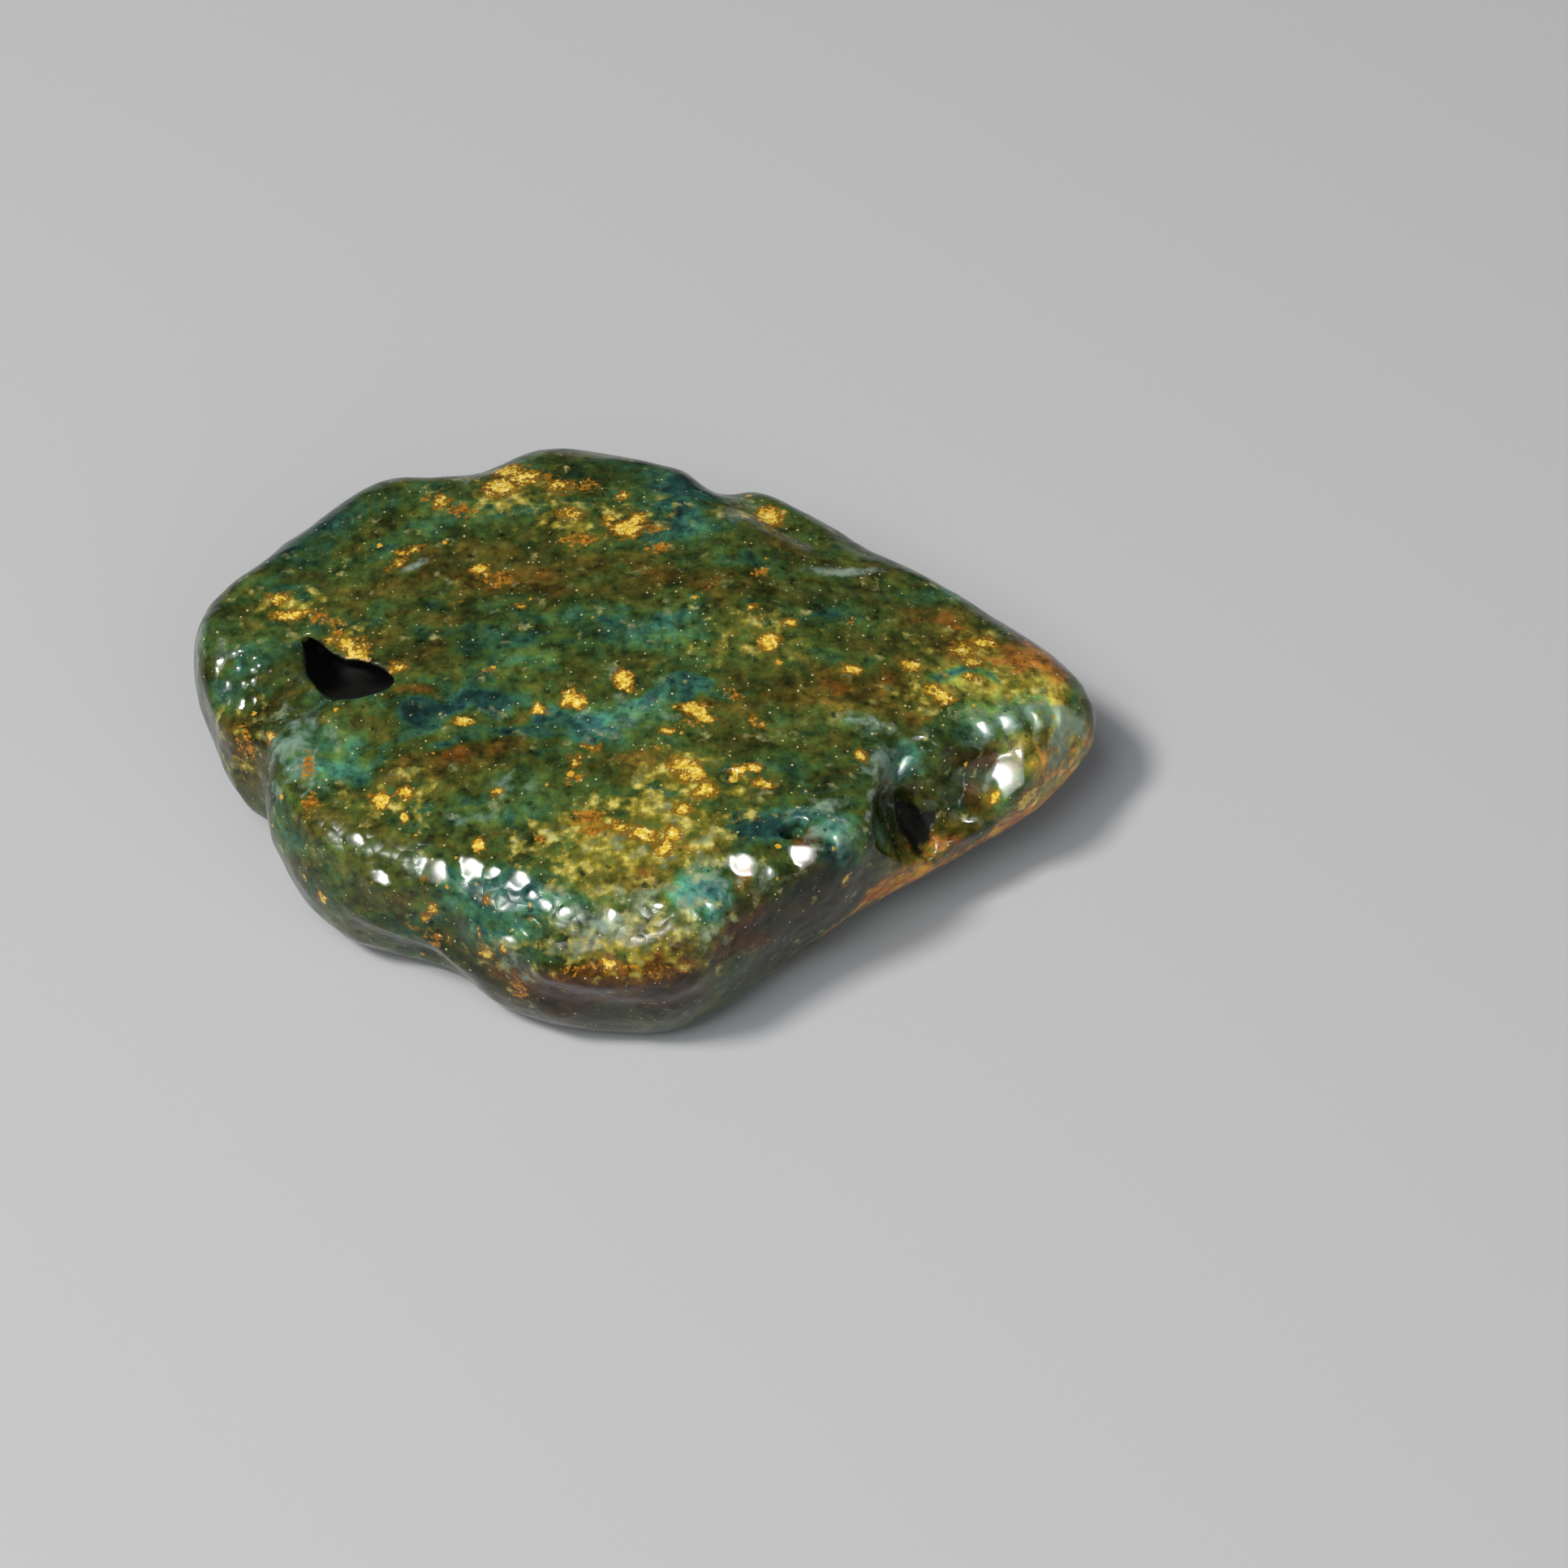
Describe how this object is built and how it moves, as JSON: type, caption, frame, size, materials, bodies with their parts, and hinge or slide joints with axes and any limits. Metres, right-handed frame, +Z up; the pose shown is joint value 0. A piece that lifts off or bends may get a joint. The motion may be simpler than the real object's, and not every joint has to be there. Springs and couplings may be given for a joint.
{
  "type": "rough amber",
  "caption": "Tumbled free-form slab of rough amber with a flat underside, lobed edges, an open hole in the top face and a shell-shaped chip in the rim.",
  "frame": {"origin": "on the surface the slab rests on, under the middle of its bounding box", "axes": "+X along the slab to its blunt nose, -Y to the lobed front, +Z up out of the top face"},
  "size_m": [0.0612, 0.0468, 0.0147],
  "materials": {
    "amber": "tumbled gloss, lightly see-through, green to olive with gold and brown flecks"
  },
  "bodies": {
    "root": {"amber_lump": "amber"}
  },
  "joints": []
}
